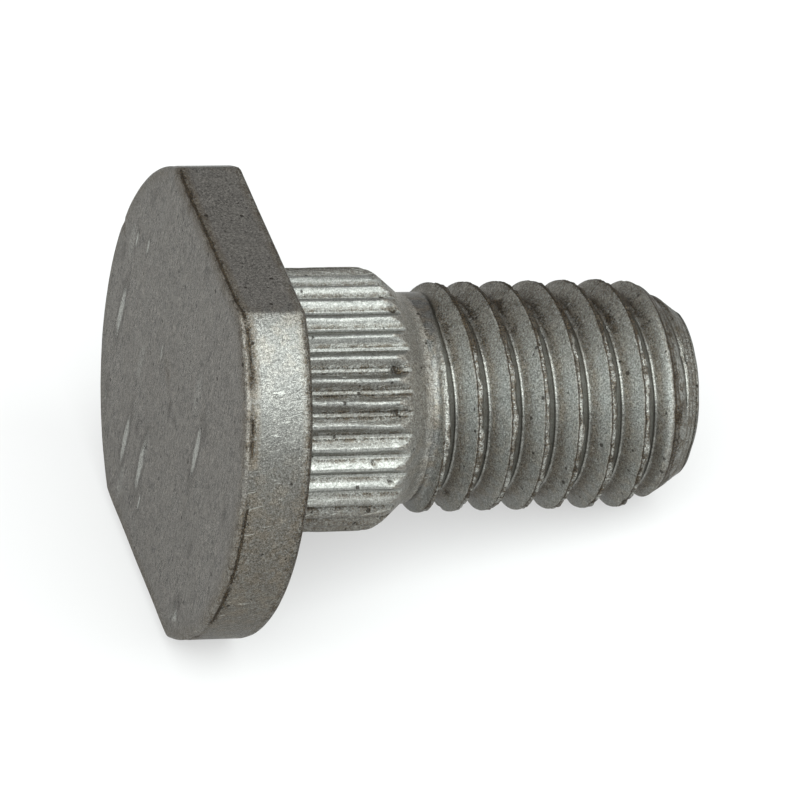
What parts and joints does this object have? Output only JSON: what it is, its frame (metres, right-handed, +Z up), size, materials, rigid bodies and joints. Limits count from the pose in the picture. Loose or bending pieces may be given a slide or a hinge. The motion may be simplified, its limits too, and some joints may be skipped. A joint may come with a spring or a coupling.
{
  "type": "cutter bar bolt",
  "caption": "Short flat-headed bolt with two flats, a toothed neck that grips its hole, and a coarse thread for a locking nut.",
  "frame": {"origin": "on the surface that the bolt lies on, under the middle of its length and width", "axes": "+Z up; +X from the head to the tip, along the surface; the bolt's own axis dips to the tip by the angle at which it rests"},
  "size_m": [0.0244, 0.0198, 0.0173],
  "materials": {
    "coated_steel": "dull grey zinc coat"
  },
  "bodies": {
    "root": {"bolt": "coated_steel"}
  },
  "joints": []
}
